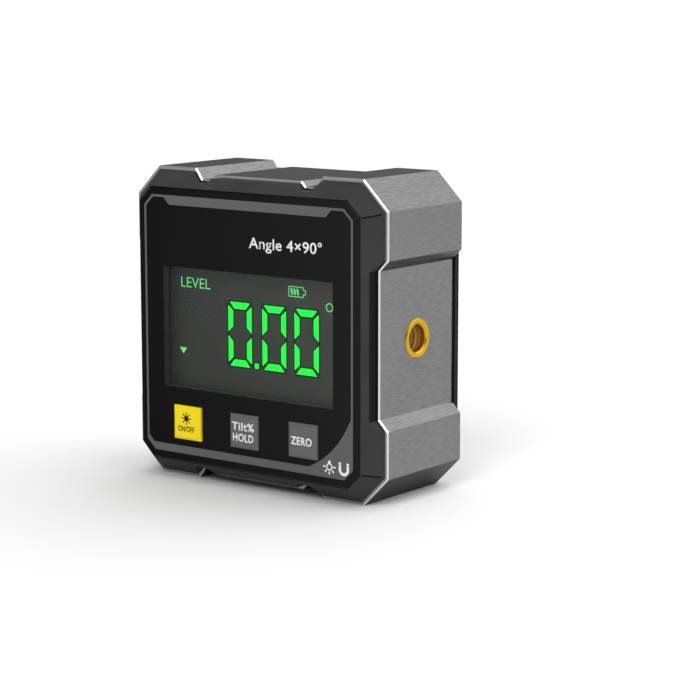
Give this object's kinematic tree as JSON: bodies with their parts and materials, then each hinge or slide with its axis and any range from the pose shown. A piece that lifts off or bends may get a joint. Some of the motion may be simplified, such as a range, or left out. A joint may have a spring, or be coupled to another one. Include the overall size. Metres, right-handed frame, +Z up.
{
  "type": "digital angle gauge",
  "caption": "Square digital angle gauge: notched aluminium frame with a bevelled display front, push keys, magnetic base, threaded side insert and sliding battery door.",
  "frame": {"origin": "on the plane of the base feet, under the middle of the body's width and depth", "axes": "+X to the right as seen from the display, +Y from the display to the rear, +Z up"},
  "size_m": [0.06, 0.03, 0.06],
  "materials": {
    "aluminium": "brushed along the depth, clear anodised",
    "brass": "turned",
    "magnet": "nickel plated",
    "bezel": "fine satin",
    "panel": "glossy black",
    "window": "clear",
    "lcd": "dark display glass",
    "light_guide": "milky",
    "elastomer": "matt",
    "white_plastic": "satin",
    "key_yellow": "satin",
    "key_grey": "satin",
    "board": "solder mask",
    "chip": "moulded",
    "screw_steel": "zinc plated",
    "cover": "fine grain",
    "cell_wrap": "printed wrap",
    "contact_metal": "nickel plated"
  },
  "bodies": {
    "case": {"frame": "aluminium", "side_insert": "brass", "front_bezel": "bezel", "front_panel": "panel", "display_window": "window", "lcd_glass": "lcd", "lcd_backlight": "light_guide", "lcd_strip": "elastomer", "display_holder": "white_plastic", "main_board": "board", "processor": "chip", "tilt_sensor": "chip", "board_screws": "screw_steel", "rear_cover": "cover", "rear_screws": "screw_steel", "battery_cell_1": "cell_wrap", "battery_cell_2": "cell_wrap", "contact_negative": "contact_metal", "contact_positive": "contact_metal", "contact_bridge": "contact_metal", "base_magnet_1": "magnet", "base_magnet_2": "magnet", "base_magnet_3": "magnet", "base_magnet_4": "magnet", "power_switch": "chip", "hold_switch": "chip", "zero_switch": "chip"},
    "power_key": {"power_button": "key_yellow", "power_plunger": "white_plastic"},
    "hold_key": {"hold_button": "key_grey", "hold_plunger": "white_plastic"},
    "zero_key": {"zero_button": "key_grey", "zero_plunger": "white_plastic"},
    "door": {"battery_door": "cover"}
  },
  "joints": [
    {"name": "power_press", "type": "slide", "parent": "case", "child": "power_key", "axis": [0, 1, 0], "range_m": [0, 0.0004], "stiffness_N_per_m": 800, "springref_m": -0.0006},
    {"name": "hold_press", "type": "slide", "parent": "case", "child": "hold_key", "axis": [0, 1, 0], "range_m": [0, 0.0004], "stiffness_N_per_m": 800, "springref_m": -0.0006},
    {"name": "zero_press", "type": "slide", "parent": "case", "child": "zero_key", "axis": [0, 1, 0], "range_m": [0, 0.0004], "stiffness_N_per_m": 800, "springref_m": -0.0006},
    {"name": "door_slide", "type": "slide", "parent": "case", "child": "door", "axis": [0, 0, 1], "range_m": [0, 0.048]}
  ]
}
